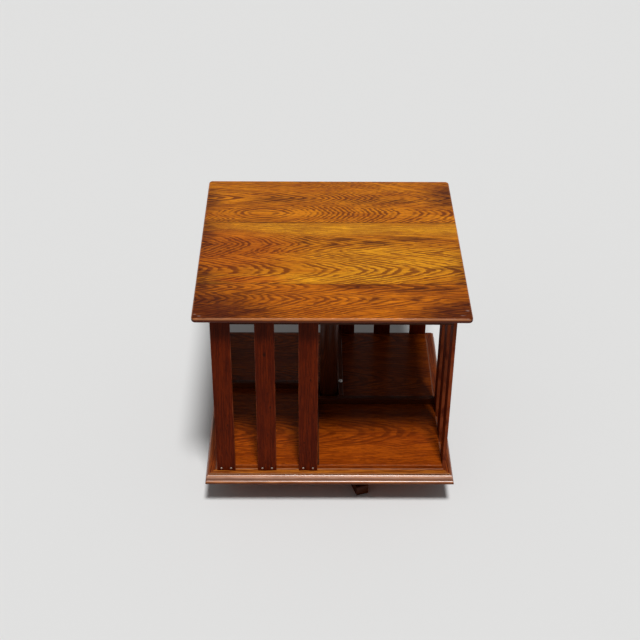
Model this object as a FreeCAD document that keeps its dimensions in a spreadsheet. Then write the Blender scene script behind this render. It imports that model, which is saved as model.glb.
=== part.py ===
"""Revolving desktop bookcase in oak: a square slatted case that turns about one post on a cross foot.

Millimetres, +Z up. The origin is on the desk under the post, and the front of the case faces -Y.
"""

import FreeCAD, Part
import math
import os
from types import SimpleNamespace

import Sketcher
from FreeCAD import Rotation, Vector

doc = FreeCAD.newDocument("RevolvingBookcase")

# ---------------------------------------------------------------------------------------------
# Driving sizes
# ---------------------------------------------------------------------------------------------

SIZES = {
    "top_overhang": (23, "how far the top stands out from the upper board"),
    "top_thickness": (8, "thickness of the top"),
    "top_corner_radius": (6, "corner of the top, seen from above"),
    "top_edge_round": (2.6, "rounding of the top's upper and lower edges"),
    "top_front_board": (84.5, "width of the front board of the top"),
    "top_middle_board": (167, "width of the middle board of the top"),
    "board_width": (335, "side of the shelf board and of the upper board"),
    "board_thickness": (18, "thickness of the shelf board and of the upper board"),
    "board_edge_round": (0.8, "rounding of the shelf board's upper edges"),
    "shelf_middle_board": (114, "width of the middle board of the shelf"),
    "shelf_back_board": (56.5, "width of the back board of the shelf"),
    "book_space": (257, "clear height between shelf and upper board"),
    "shelf_rise": (6.5, "height of the shelf above the moulding's flat"),
    "moulding_width": (17.5, "how far the moulding stands out from the shelf board"),
    "moulding_thickness": (18, "thickness of the moulding"),
    "quirk_depth": (1.8, "step from the moulding's flat down to its bead"),
    "bead_radius": (3.8, "upper round of the moulding"),
    "bead_setback": (2, "how far the bead stays behind the nosing"),
    "nosing_radius": (3.5, "lower round of the moulding"),
    "slat_width": (27.5, "width of a slat"),
    "slat_thickness": (5, "thickness of a slat"),
    "slat_pitch": (60.8, "distance from slat to slat"),
    "slats_per_side": (3, "slats on one side of the case"),
    "slat_edge_round": (0.8, "rounding of a slat's long edges"),
    "stop_width": (8, "width of a book stop"),
    "stop_height": (11, "height of a book stop"),
    "stop_gap": (1.7, "gap between the column and the stops round it"),
    "stop_edge_round": (1.2, "rounding of a book stop's upper edges"),
    "column_diameter": (28, "diameter of the column"),
    "column_bore": (14, "bore of the column"),
    "tenon_diameter": (22, "diameter of the column's two tenons"),
    "upper_tenon_length": (12, "length of the column's upper tenon"),
    "foot_angle": (18, "angle of the cross foot to the case, in degrees"),
    "arm_length": (330, "length of an arm of the foot, from end to end"),
    "arm_width": (19, "width of an arm of the foot"),
    "arm_height": (38, "height of an arm at its middle"),
    "hub_length": (84, "length of the level stretch on top of an arm's middle"),
    "tip_height": (16, "height of an arm at its ends"),
    "tip_length": (22, "length of the level stretch on top of an arm's end"),
    "toe_length": (42, "length of an arm's end that stands on its pad"),
    "arch_rise": (12, "rise of the arch under an arm"),
    "arch_flat": (24, "length of the level stretch under the crossing"),
    "lap_clearance": (0.1, "gap on each side of the halved crossing"),
    "tip_round": (2, "rounding of an arm's upper end edge"),
    "pad_diameter": (16, "diameter of a felt pad"),
    "pad_thickness": (2, "thickness of a felt pad"),
    "pad_inset": (13, "from an arm's end to the middle of its pad"),
    "plate_diameter": (60, "diameter of the spindle plate"),
    "plate_thickness": (4, "thickness of the spindle plate"),
    "plate_screw_circle": (44, "diameter of the circle of the plate's screws"),
    "boss_diameter": (24, "diameter of the plate's boss and of the thrust washer"),
    "boss_height": (3, "height of the plate's boss"),
    "washer_thickness": (1.5, "thickness of the thrust washer and of the nut's washer"),
    "flange_diameter": (46, "diameter of the lower bush's flange"),
    "flange_thickness": (4, "thickness of the lower bush's flange"),
    "flange_screw_circle": (35, "diameter of the circle of the flange's screws"),
    "lower_bush_length": (30, "length of the lower bush inside the column"),
    "upper_bush_length": (20, "length of the upper bush"),
    "upper_bush_drop": (8, "from the upper board down to the upper bush"),
    "spindle_diameter": (9.5, "diameter of the spindle"),
    "spindle_above_bush": (3, "how far the spindle stands out of the upper bush"),
    "spindle_tip_chamfer": (1.5, "chamfer at both ends of the spindle"),
    "spindle_below_nut": (2, "how far the spindle stands out of its nut"),
    "running_clearance": (0.05, "radial clearance of the spindle in its bushes"),
    "hole_clearance": (0.25, "radial clearance of the spindle where it only passes through"),
    "nut_width": (16, "width of the square nut across its corners"),
    "nut_height": (6, "height of the nut"),
    "nail_diameter": (1.8, "shank of a slat nail"),
    "nail_length": (22, "length of a slat nail under its head"),
    "nail_head_diameter": (3.4, "head of a slat nail"),
    "nail_head_height": (0.7, "height of a slat nail's head"),
    "nail_inset": (6.6, "from a slat's long edge to its nails"),
    "nail_rise": (4.6, "from a slat's lower end to its lower nails"),
    "pin_diameter": (1.4, "headless pin in the moulding and the stops"),
    "moulding_pin_length": (28, "length of a moulding pin"),
    "moulding_pin_pitch": (120, "distance between moulding pins"),
    "stop_pin_length": (20, "length of a stop pin"),
    "stop_pin_inset": (22, "from the board's edge to the outer stop pin"),
    "stop_pin_pitch": (55, "distance between stop pins"),
    "screw_diameter": (3, "shank of the small countersunk screws"),
    "screw_head_diameter": (5.6, "head of the small countersunk screws"),
    "plate_screw_length": (18, "length of a plate screw"),
    "flange_screw_length": (14, "length of a flange screw"),
    "top_screw_length": (23, "length of a screw that holds the top"),
    "top_screw_spread": (140, "from the column to the top's screws, along X and Y"),
    "stop_screw_head": (6.4, "diameter of the round-headed screw in the back stop"),
    "stop_screw_place": (21, "from the column's middle to that screw"),
}

TINY = 1e-4
Z_AXIS = Vector(0, 0, 1)
UPRIGHT = Rotation()
UPSIDE_DOWN = Rotation(Vector(1, 0, 0), 180)
DRIVEN_IN_FROM_BACK = Rotation(Z_AXIS, Vector(0, 1, 0))
SIDES = ("back", "left", "front", "right")  # anticlockwise, seen from above


class Measure:
    """A number together with the expression that gives it in the document."""

    def __init__(self, number, text):
        self.number = number
        self.text = text

    def __add__(self, other):
        other = as_measure(other)
        return Measure(self.number + other.number, f"({self.text} + {other.text})")

    def __sub__(self, other):
        other = as_measure(other)
        return Measure(self.number - other.number, f"({self.text} - {other.text})")

    def __mul__(self, other):
        other = as_measure(other)
        return Measure(self.number * other.number, f"{self.text} * {other.text}")

    def __truediv__(self, other):
        other = as_measure(other)
        return Measure(self.number / other.number, f"{self.text} / ({other.text})")

    def __neg__(self):
        return Measure(-self.number, f"(0 - {self.text})")

    def __rsub__(self, other):
        return as_measure(other) - self

    __radd__ = __add__
    __rmul__ = __mul__


def as_measure(value):
    return value if isinstance(value, Measure) else Measure(float(value), f"{float(value)}")


def root(value):
    """Square root of a measure."""
    return Measure(math.sqrt(value.number), f"sqrt({value.text})")


def make_sheet():
    """Spreadsheet with one row per size: what it is, and its value under an alias."""
    sheet = doc.addObject("Spreadsheet::Sheet", "Sizes")
    for row, (alias, (value, meaning)) in enumerate(SIZES.items(), start=1):
        sheet.set(f"A{row}", meaning)
        sheet.set(f"B{row}", str(value))
        sheet.setAlias(f"B{row}", alias)
    doc.recompute()
    return SimpleNamespace(
        **{alias: Measure(float(sheet.get(alias)), f"Sizes.{alias}") for alias in SIZES}
    )


s = make_sheet()  # every size by its name

# Levels, from the desk up.
ARM_BOTTOM = s.pad_thickness
ARM_TOP = ARM_BOTTOM + s.arm_height
PLATE_TOP = ARM_TOP + s.plate_thickness
BOSS_TOP = PLATE_TOP + s.boss_height
FLANGE_BOTTOM = BOSS_TOP + s.washer_thickness
SHELF_BOTTOM = FLANGE_BOTTOM + s.flange_thickness
SHELF_TOP = SHELF_BOTTOM + s.board_thickness
FLAT_TOP = SHELF_TOP - s.shelf_rise
MOULDING_BOTTOM = FLAT_TOP - s.moulding_thickness
UPPER_BOTTOM = SHELF_TOP + s.book_space
UPPER_TOP = UPPER_BOTTOM + s.board_thickness

# Places that several pieces share.
BOARD_FACE = s.board_width / 2
SLAT_FACE = BOARD_FACE + s.slat_thickness
TOP_FACE = BOARD_FACE + s.top_overhang
STOP_INNER = s.column_diameter / 2 + s.stop_gap
SPINDLE_RADIUS = s.spindle_diameter / 2
UPPER_BUSH_TOP = UPPER_BOTTOM - s.upper_bush_drop

nodes = []


# ---------------------------------------------------------------------------------------------
# Building blocks
# ---------------------------------------------------------------------------------------------

def bind(thing, path, value):
    thing.setExpression(path, as_measure(value).text)


def node(thing):
    """Marks a finished sub-part: its label names its file."""
    nodes.append(thing)
    return thing


def turn_to(side, thing):
    """Turns a sub-part that is made for the back of the case about the column, to another side."""
    thing.Placement = FreeCAD.Placement(Vector(), Rotation(Z_AXIS, SIDES.index(side) * 90))
    return thing


def turn_with_foot(thing, quarter_turns=0):
    angle = s.foot_angle + quarter_turns * 90
    thing.Placement = FreeCAD.Placement(Vector(), Rotation(Z_AXIS, angle.number))
    bind(thing, "Placement.Rotation.Angle", angle)
    return thing


def block(label, low, size):
    """Rectangular block from its lowest corner and its size along X, Y and Z."""
    box = doc.addObject("Part::Box", label)
    for axis, value in zip("xyz", low):
        bind(box, f"Placement.Base.{axis}", value)
    for name, value in zip(("Length", "Width", "Height"), size):
        bind(box, name, value)
    return box


def rod(label, radius, low, high, x=0, y=0):
    """Upright round rod from the level low to the level high."""
    cylinder = doc.addObject("Part::Cylinder", label)
    bind(cylinder, "Radius", radius)
    bind(cylinder, "Height", high - low)
    for axis, value in zip("xyz", (x, y, low)):
        bind(cylinder, f"Placement.Base.{axis}", value)
    return cylinder


def group(label, things):
    compound = doc.addObject("Part::Compound", label)
    compound.Links = things
    return compound


def cut(label, base, tool):
    result = doc.addObject("Part::Cut", label)
    result.Base = base
    result.Tool = tool
    return result


def common(label, base, tool):
    result = doc.addObject("Part::Common", label)
    result.Base = base
    result.Tool = tool
    return result


def ring(label, outer_radius, inner_radius, low, high):
    """Washer or sleeve round the column's axis."""
    return cut(
        label,
        rod(f"{label}_blank", outer_radius, low, high),
        rod(f"{label}_hole", inner_radius, low, high),
    )


def new_body(label):
    return doc.addObject("PartDesign::Body", label)


def sketch_on(body, name, plane):
    sketch = body.newObject("Sketcher::SketchObject", name)
    support = next(f for f in body.Origin.OriginFeatures if f.Role == plane)
    sketch.AttachmentSupport = (support, [""])
    sketch.MapMode = "FlatFace"
    return sketch


def hold_coordinate(sketch, curve, point, direction, value):
    """Fixes one coordinate of a sketch point to a measure."""
    value = as_measure(value)
    if value.number == 0:
        across = -2 if direction == "DistanceX" else -1
        sketch.addConstraint(Sketcher.Constraint("PointOnObject", curve, point, across))
        return
    index = sketch.addConstraint(
        Sketcher.Constraint(direction, -1, 1, curve, point, value.number)
    )
    bind(sketch, f"Constraints[{index}]", value)


def outline(body, name, plane, corners, arcs=None):
    """Closed sketch through corners, listed anticlockwise.

    arcs gives, for a side that starts at corner i and isn't straight, its centre and whether it is
    round (it stands out from the piece) or hollow (it cuts into it).
    """
    sketch = sketch_on(body, name, plane)
    arcs = arcs or {}
    corners = [tuple(as_measure(v) for v in corner) for corner in corners]
    flat = [Vector(x.number, y.number, 0) for x, y in corners]
    ends = []
    for i, start in enumerate(flat):
        finish = flat[(i + 1) % len(flat)]
        if i in arcs:
            ends.append(add_arc(sketch, start, finish, *arcs[i]))
        else:
            curve = sketch.addGeometry(Part.LineSegment(start, finish), False)
            ends.append((curve, 1, 2))
    for i, (curve, first, last) in enumerate(ends):
        following, following_first, _ = ends[(i + 1) % len(ends)]
        sketch.addConstraint(
            Sketcher.Constraint("Coincident", curve, last, following, following_first)
        )
        hold_coordinate(sketch, curve, first, "DistanceX", corners[i][0])
        hold_coordinate(sketch, curve, first, "DistanceY", corners[i][1])
    return sketch


def add_arc(sketch, start, finish, form, centre):
    """Adds an arc and holds its centre. Returns the curve and which of its ends comes first."""
    centre = [as_measure(v) for v in centre]
    middle = Vector(centre[0].number, centre[1].number, 0)
    circle = Part.Circle(middle, Z_AXIS, (start - middle).Length)
    low, high = (start, finish) if form == "round" else (finish, start)
    arc = Part.ArcOfCircle(circle, circle.parameter(low), circle.parameter(high))
    curve = sketch.addGeometry(arc, False)
    chord = finish - start
    if abs(chord.x) > abs(chord.y):
        hold_coordinate(sketch, curve, 3, "DistanceY", centre[1])
    else:
        hold_coordinate(sketch, curve, 3, "DistanceX", centre[0])
    return (curve, 1, 2) if form == "round" else (curve, 2, 1)


def rectangle(body, name, plane, x_low, x_high, y_low, y_high):
    return outline(
        body, name, plane, [(x_low, y_low), (x_high, y_low), (x_high, y_high), (x_low, y_high)]
    )


def pad(body, name, sketch, length, both_ways=False, start=None):
    if start is not None:
        bind(sketch, "AttachmentOffset.Base.z", start)
    feature = body.newObject("PartDesign::Pad", name)
    feature.Profile = sketch
    feature.SideType = "Symmetric" if both_ways else "One side"
    bind(feature, "Length", length)
    doc.recompute()
    return feature


def pocket_through(body, name, sketch):
    feature = body.newObject("PartDesign::Pocket", name)
    feature.Profile = sketch
    feature.Type = "ThroughAll"
    feature.SideType = "Symmetric"
    doc.recompute()
    return feature


def revolved(label, corners):
    """Turned piece: its half section as (radius, level) corners, turned about the column's axis."""
    body = new_body(label)
    section = outline(body, f"{label}_section", "XZ_Plane", corners)
    feature = body.newObject("PartDesign::Revolution", f"{label}_turning")
    feature.Profile = section
    feature.ReferenceAxis = (section, ["V_Axis"])
    doc.recompute()
    return body


def round_edges(body, name, base, chosen, radius):
    """Rounds the edges of base that chosen(edge) accepts."""
    feature = body.newObject("PartDesign::Fillet", name)
    names = [f"Edge{i}" for i, edge in enumerate(base.Shape.Edges, start=1) if chosen(edge)]
    feature.Base = (base, names)
    bind(feature, "Radius", radius)
    doc.recompute()
    return feature


def direction(edge):
    return edge.Vertexes[-1].Point - edge.Vertexes[0].Point


def is_upright(edge):
    along = direction(edge)
    return abs(along.z) > abs(along.x) + abs(along.y)


def is_at_level(edge, level):
    return all(abs(v.Z - level.number) < TINY for v in edge.Vertexes)


def fasteners(label, shape, places):
    """Group of equal fasteners, one separate solid at each place."""
    feature = doc.addObject("Part::Feature", label)
    feature.Shape = Part.makeCompound([shape.transformed(p.toMatrix(), copy=True) for p in places])
    return feature


def countersunk_screw(length):
    """Screw with its flat head at the origin and its shank down -Z."""
    shank = s.screw_diameter.number / 2
    head = s.screw_head_diameter.number / 2
    cone = Part.makeCone(shank, head, head - shank, Vector(0, 0, shank - head))
    return cone.fuse(Part.makeCylinder(shank, length.number, Vector(0, 0, -length.number)))


def pin(length):
    """Headless pin from the origin down -Z."""
    return Part.makeCylinder(s.pin_diameter.number / 2, length.number, Vector(0, 0, -length.number))


def place(x, y, z, rotation=UPRIGHT):
    return FreeCAD.Placement(Vector(*(as_measure(v).number for v in (x, y, z))), rotation)


def four_around(radius):
    """Four points at that distance from the column's axis, a quarter turn apart."""
    return ((radius, 0), (0, radius), (-radius, 0), (0, -radius))


def ring_of_places(circle, level, rotation=UPRIGHT):
    """Four places on a circle of that diameter."""
    return [place(x, y, level, rotation) for x, y in four_around(circle / 2)]


# ---------------------------------------------------------------------------------------------
# Foot: two halved arms, pads, spindle and plate
# ---------------------------------------------------------------------------------------------

CROSSING_BOTTOM = ARM_BOTTOM + s.arch_rise
LAP_LEVEL = (CROSSING_BOTTOM + ARM_TOP) / 2


def arm(label, lap_low, lap_high):
    """Arm of the cross foot: level hub and tips joined by ogees, arched below, halved at mid-length."""
    body = new_body(label)
    end = s.arm_length / 2
    hub = s.hub_length / 2
    tip = end - s.tip_length
    toe = end - s.toe_length
    flat = s.arch_flat / 2
    tip_top = ARM_BOTTOM + s.tip_height
    run = tip - hub
    drop = ARM_TOP - tip_top
    half_way = (hub + run / 2, tip_top + drop / 2)
    ogee_radius = (run * run + drop * drop) / (4 * drop)
    reach = toe - flat
    arch_radius = (reach * reach + s.arch_rise * s.arch_rise) / (2 * s.arch_rise)
    arch_middle = CROSSING_BOTTOM - arch_radius
    corners = [
        (flat, CROSSING_BOTTOM),
        (toe, ARM_BOTTOM),
        (end, ARM_BOTTOM),
        (end, tip_top),
        (tip, tip_top),
        half_way,
        (hub, ARM_TOP),
        (-hub, ARM_TOP),
        (-half_way[0], half_way[1]),
        (-tip, tip_top),
        (-end, tip_top),
        (-end, ARM_BOTTOM),
        (-toe, ARM_BOTTOM),
        (-flat, CROSSING_BOTTOM),
    ]
    arcs = {
        0: ("hollow", (flat, arch_middle)),
        4: ("hollow", (tip, tip_top + ogee_radius)),
        5: ("round", (hub, ARM_TOP - ogee_radius)),
        7: ("round", (-hub, ARM_TOP - ogee_radius)),
        8: ("hollow", (-tip, tip_top + ogee_radius)),
        12: ("hollow", (-flat, arch_middle)),
    }
    side = outline(body, f"{label}_side", "XZ_Plane", corners, arcs)
    solid = pad(body, f"{label}_pad", side, s.arm_width, both_ways=True)
    round_edges(
        body, f"{label}_tip_round", solid,
        lambda e: is_at_level(e, tip_top) and all(abs(abs(v.X) - end.number) < TINY for v in e.Vertexes),
        s.tip_round,
    )
    half = s.arm_width / 2 + s.lap_clearance
    lap = rectangle(body, f"{label}_lap", "XZ_Plane", -half, half, lap_low, lap_high)
    pocket_through(body, f"{label}_halving", lap)
    bore = sketch_on(body, f"{label}_bore", "XY_Plane")
    radius = SPINDLE_RADIUS + s.hole_clearance
    circle = bore.addGeometry(Part.Circle(Vector(), Z_AXIS, radius.number), False)
    bore.addConstraint(Sketcher.Constraint("Coincident", circle, 3, -1, 1))
    index = bore.addConstraint(Sketcher.Constraint("Radius", circle, radius.number))
    bind(bore, f"Constraints[{index}]", radius)
    pocket_through(body, f"{label}_drilling", bore)
    return body


plate_screws = node(fasteners(
    "plate_screws", countersunk_screw(s.plate_screw_length),
    ring_of_places(s.plate_screw_circle, PLATE_TOP),
))
turn_with_foot(plate_screws)

lower_arm = turn_with_foot(arm("foot_arm_lower_blank", LAP_LEVEL, ARM_TOP))
upper_arm = turn_with_foot(arm("foot_arm_upper_blank", ARM_BOTTOM, LAP_LEVEL), quarter_turns=1)
node(cut("foot_arm_lower", lower_arm, plate_screws))
node(cut("foot_arm_upper", upper_arm, plate_screws))

pad_place = s.arm_length / 2 - s.pad_inset
felt_pads = [
    rod(f"felt_pad_{i}", s.pad_diameter / 2, as_measure(0), ARM_BOTTOM, x, y)
    for i, (x, y) in enumerate(four_around(pad_place), start=1)
]
node(turn_with_foot(group("foot_pads", felt_pads)))

plate_blank = revolved("spindle_plate_blank", [
    (SPINDLE_RADIUS, ARM_TOP),
    (s.plate_diameter / 2, ARM_TOP),
    (s.plate_diameter / 2, PLATE_TOP),
    (s.boss_diameter / 2, PLATE_TOP),
    (s.boss_diameter / 2, BOSS_TOP),
    (SPINDLE_RADIUS, BOSS_TOP),
])
node(cut("spindle_plate", plate_blank, plate_screws))

NUT_TOP = CROSSING_BOTTOM - s.washer_thickness
NUT_BOTTOM = NUT_TOP - s.nut_height
SPINDLE_BOTTOM = NUT_BOTTOM - s.spindle_below_nut
SPINDLE_TOP = UPPER_BUSH_TOP + s.spindle_above_bush
TIP_RADIUS = SPINDLE_RADIUS - s.spindle_tip_chamfer

node(revolved("spindle", [
    (0, SPINDLE_BOTTOM),
    (TIP_RADIUS, SPINDLE_BOTTOM),
    (SPINDLE_RADIUS, SPINDLE_BOTTOM + s.spindle_tip_chamfer),
    (SPINDLE_RADIUS, SPINDLE_TOP - s.spindle_tip_chamfer),
    (TIP_RADIUS, SPINDLE_TOP),
    (0, SPINDLE_TOP),
]))
node(ring(
    "spindle_washer", s.arm_width / 2, SPINDLE_RADIUS + s.hole_clearance, NUT_TOP, CROSSING_BOTTOM
))
nut_blank = doc.addObject("Part::Prism", "spindle_nut_blank")
nut_blank.Polygon = 4
bind(nut_blank, "Circumradius", s.nut_width / 2)
bind(nut_blank, "Height", s.nut_height)
bind(nut_blank, "Placement.Base.z", NUT_BOTTOM)
node(cut("spindle_nut", nut_blank, rod("spindle_nut_hole", SPINDLE_RADIUS, NUT_BOTTOM, NUT_TOP)))
node(ring(
    "thrust_washer", s.boss_diameter / 2, SPINDLE_RADIUS + s.hole_clearance, BOSS_TOP, FLANGE_BOTTOM
))

# ---------------------------------------------------------------------------------------------
# Column and bushes, which turn on the spindle
# ---------------------------------------------------------------------------------------------

BUSH_RADIUS = SPINDLE_RADIUS + s.running_clearance
BORE_RADIUS = s.column_bore / 2
TENON_RADIUS = s.tenon_diameter / 2
COLUMN_RADIUS = s.column_diameter / 2
TENON_TOP = UPPER_BOTTOM + s.upper_tenon_length

node(revolved("column", [
    (BORE_RADIUS, SHELF_BOTTOM),
    (TENON_RADIUS, SHELF_BOTTOM),
    (TENON_RADIUS, SHELF_TOP),
    (COLUMN_RADIUS, SHELF_TOP),
    (COLUMN_RADIUS, UPPER_BOTTOM),
    (TENON_RADIUS, UPPER_BOTTOM),
    (TENON_RADIUS, TENON_TOP),
    (BORE_RADIUS, TENON_TOP),
]))

flange_screws = node(fasteners(
    "flange_screws", countersunk_screw(s.flange_screw_length),
    ring_of_places(s.flange_screw_circle, FLANGE_BOTTOM, UPSIDE_DOWN),
))
lower_bush_blank = revolved("lower_bush_blank", [
    (BUSH_RADIUS, FLANGE_BOTTOM),
    (s.flange_diameter / 2, FLANGE_BOTTOM),
    (s.flange_diameter / 2, SHELF_BOTTOM),
    (BORE_RADIUS, SHELF_BOTTOM),
    (BORE_RADIUS, SHELF_BOTTOM + s.lower_bush_length),
    (BUSH_RADIUS, SHELF_BOTTOM + s.lower_bush_length),
])
node(cut("lower_bush", lower_bush_blank, flange_screws))
node(ring(
    "upper_bush", BORE_RADIUS, BUSH_RADIUS, UPPER_BUSH_TOP - s.upper_bush_length, UPPER_BUSH_TOP
))

# ---------------------------------------------------------------------------------------------
# Slats and their nails
# ---------------------------------------------------------------------------------------------


def slat_nail():
    """Nail with the underside of its low conical head at the origin and its shank down -Z."""
    head = Part.makeCone(
        s.nail_head_diameter.number / 2, s.nail_diameter.number / 2, s.nail_head_height.number
    )
    length = s.nail_length.number
    shank = Part.makeCylinder(s.nail_diameter.number / 2, length, Vector(0, 0, -length))
    return head.fuse(shank)


def nails_of_slat(label, outer_edge):
    """Two nails at each end of the slat on the +Y side whose outer edge is at X = outer_edge."""
    levels = (FLAT_TOP + s.nail_rise, UPPER_TOP - s.board_thickness / 2)
    edges = (outer_edge - s.nail_inset, outer_edge - s.slat_width + s.nail_inset)
    places = [place(x, SLAT_FACE, z, DRIVEN_IN_FROM_BACK) for x in edges for z in levels]
    return fasteners(label, slat_nail(), places)


def slat_blank(label, outer_edge):
    """Slat on the +Y side, from the moulding's flat up to the top."""
    body = new_body(label)
    section = rectangle(
        body, f"{label}_section", "XY_Plane", outer_edge - s.slat_width, outer_edge,
        BOARD_FACE, SLAT_FACE,
    )
    solid = pad(body, f"{label}_pad", section, UPPER_TOP - FLAT_TOP, start=FLAT_TOP)
    round_edges(body, f"{label}_edges", solid, is_upright, s.slat_edge_round)
    return body


slat_nails = []
for side in SIDES:
    for i in range(int(s.slats_per_side.number)):
        outer_edge = BOARD_FACE - i * s.slat_pitch
        label = f"slat_{side}_{i + 1}"
        nails = turn_to(side, nails_of_slat(f"{label}_nails", outer_edge))
        blank = turn_to(side, slat_blank(f"{label}_blank", outer_edge))
        node(cut(label, blank, nails))
        slat_nails.append(nails)
slat_nails = node(group("slat_nails", slat_nails))

# ---------------------------------------------------------------------------------------------
# Moulding round the shelf board
# ---------------------------------------------------------------------------------------------

MOULDING_FACE = BOARD_FACE + s.moulding_width


def moulding_blank(label):
    """Mitred length on the +Y side: flat, quirk, bead and a larger nosing below."""
    body = new_body(label)
    bead_top = FLAT_TOP - s.quirk_depth
    bead_face = MOULDING_FACE - s.bead_setback
    bead_start = bead_face - s.bead_radius
    nosing_middle = (MOULDING_FACE - s.nosing_radius, MOULDING_BOTTOM + s.nosing_radius)
    nosing_meets = nosing_middle[1] + root(
        s.bead_setback * (2 * s.nosing_radius - s.bead_setback)
    )
    corners = [
        (BOARD_FACE, MOULDING_BOTTOM),
        (nosing_middle[0], MOULDING_BOTTOM),
        (MOULDING_FACE, nosing_middle[1]),
        (bead_face, nosing_meets),
        (bead_face, bead_top - s.bead_radius),
        (bead_start, bead_top),
        (bead_start, FLAT_TOP),
        (BOARD_FACE, FLAT_TOP),
    ]
    arcs = {
        1: ("round", nosing_middle),
        2: ("round", nosing_middle),
        4: ("round", (bead_start, bead_top - s.bead_radius)),
    }
    section = outline(body, f"{label}_section", "YZ_Plane", corners, arcs)
    pad(body, f"{label}_pad", section, 2 * MOULDING_FACE, both_ways=True)
    for name, sign in (("left", -1), ("right", 1)):
        waste = outline(body, f"{label}_{name}_waste", "XY_Plane", [
            (sign * BOARD_FACE, BOARD_FACE),
            (sign * MOULDING_FACE, MOULDING_FACE),
            (sign * MOULDING_FACE, BOARD_FACE),
        ])
        pocket_through(body, f"{label}_{name}_mitre", waste)
    return body


def moulding_pins(label):
    """Three pins through the length on the +Y side into the shelf board's edge."""
    face = MOULDING_FACE - s.bead_setback
    level = (MOULDING_BOTTOM + FLAT_TOP) / 2
    pitch = s.moulding_pin_pitch
    places = [place(x, face, level, DRIVEN_IN_FROM_BACK) for x in (-pitch, 0, pitch)]
    return fasteners(label, pin(s.moulding_pin_length), places)


edge_pins = []
for side in SIDES:
    pins = turn_to(side, moulding_pins(f"moulding_{side}_pins"))
    blank = turn_to(side, moulding_blank(f"moulding_{side}_blank"))
    node(cut(f"moulding_{side}", blank, pins))
    edge_pins.append(pins)
edge_pins = node(group("moulding_pins", edge_pins))

# ---------------------------------------------------------------------------------------------
# Book stops round the column
# ---------------------------------------------------------------------------------------------

STOP_TOP = SHELF_TOP + s.stop_height
STOP_MIDDLE = STOP_INNER + s.stop_width / 2


def stop_blank(label):
    """Stop that runs towards +Y from the next stop's face, beside the column."""
    body = new_body(label)
    section = rectangle(
        body, f"{label}_section", "XY_Plane", STOP_INNER, STOP_INNER + s.stop_width,
        -STOP_INNER, BOARD_FACE,
    )
    solid = pad(body, f"{label}_pad", section, s.stop_height, start=SHELF_TOP)
    round_edges(
        body, f"{label}_edges", solid,
        lambda e: is_at_level(e, STOP_TOP) and abs(direction(e).y) > abs(direction(e).x),
        s.stop_edge_round,
    )
    return body


def stop_pins(label):
    """Three pins down through a stop into the shelf."""
    outer = BOARD_FACE - s.stop_pin_inset
    places = [place(STOP_MIDDLE, outer - i * s.stop_pin_pitch, STOP_TOP) for i in range(3)]
    return fasteners(label, pin(s.stop_pin_length), places)


def round_headed_screw(length):
    """Screw with the underside of its domed head at the origin and its shank down -Z."""
    dome = Part.makeSphere(s.stop_screw_head.number / 2, Vector(), Z_AXIS, 0, 90)
    shank = s.screw_diameter.number / 2
    return dome.fuse(Part.makeCylinder(shank, length.number, Vector(0, 0, -length.number)))


stop_screw = node(fasteners(
    "stop_screw", round_headed_screw(s.stop_pin_length),
    [place(STOP_MIDDLE, s.stop_screw_place, STOP_TOP)],
))

pins_of_stops = []
for side in SIDES:
    pins = turn_to(side, stop_pins(f"stop_{side}_pins"))
    blank = turn_to(side, stop_blank(f"stop_{side}_blank"))
    tools = group(f"stop_{side}_holes", [pins, stop_screw] if side == "back" else [pins])
    node(cut(f"stop_{side}", blank, tools))
    pins_of_stops.append(pins)
pins_of_stops = node(group("stop_pins", pins_of_stops))

# ---------------------------------------------------------------------------------------------
# Shelf board, upper board and top
# ---------------------------------------------------------------------------------------------

shelf = new_body("shelf_blank")
shelf_plan = rectangle(
    shelf, "shelf_plan", "XY_Plane", -BOARD_FACE, BOARD_FACE, -BOARD_FACE, BOARD_FACE
)
shelf_pad = pad(shelf, "shelf_pad", shelf_plan, s.board_thickness, start=SHELF_BOTTOM)
round_edges(
    shelf, "shelf_edges", shelf_pad, lambda e: is_at_level(e, SHELF_TOP), s.board_edge_round
)
shelf_holes = group("shelf_holes", [
    rod("column_mortise", TENON_RADIUS, SHELF_BOTTOM, SHELF_TOP),
    slat_nails,
    edge_pins,
    pins_of_stops,
    stop_screw,
    flange_screws,
])
SHELF_JOINT_BACK = BOARD_FACE - s.shelf_back_board
SHELF_JOINT_FRONT = SHELF_JOINT_BACK - s.shelf_middle_board
SHELF_BOARDS = {
    "front": (-BOARD_FACE, SHELF_JOINT_FRONT),
    "middle": (SHELF_JOINT_FRONT, SHELF_JOINT_BACK),
    "back": (SHELF_JOINT_BACK, BOARD_FACE),
}
for name, (low, high) in SHELF_BOARDS.items():
    stretch = block(
        f"shelf_board_{name}_stretch",
        (-BOARD_FACE, low, SHELF_BOTTOM),
        (s.board_width, high - low, s.board_thickness),
    )
    board = common(f"shelf_board_{name}_blank", shelf, stretch)
    node(cut(f"shelf_board_{name}", board, shelf_holes))

top_screws = node(fasteners("top_screws", countersunk_screw(s.top_screw_length), [
    place(x * s.top_screw_spread, y * s.top_screw_spread, UPPER_BOTTOM, UPSIDE_DOWN)
    for x in (-1, 0, 1) for y in (-1, 0, 1) if (x, y) != (0, 0)
]))
upper_blank = block(
    "upper_board_blank",
    (-BOARD_FACE, -BOARD_FACE, UPPER_BOTTOM),
    (s.board_width, s.board_width, s.board_thickness),
)
upper_holes = group("upper_board_holes", [
    rod("upper_mortise", TENON_RADIUS, UPPER_BOTTOM, TENON_TOP), slat_nails, top_screws
])
node(cut("upper_board", upper_blank, upper_holes))

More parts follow.
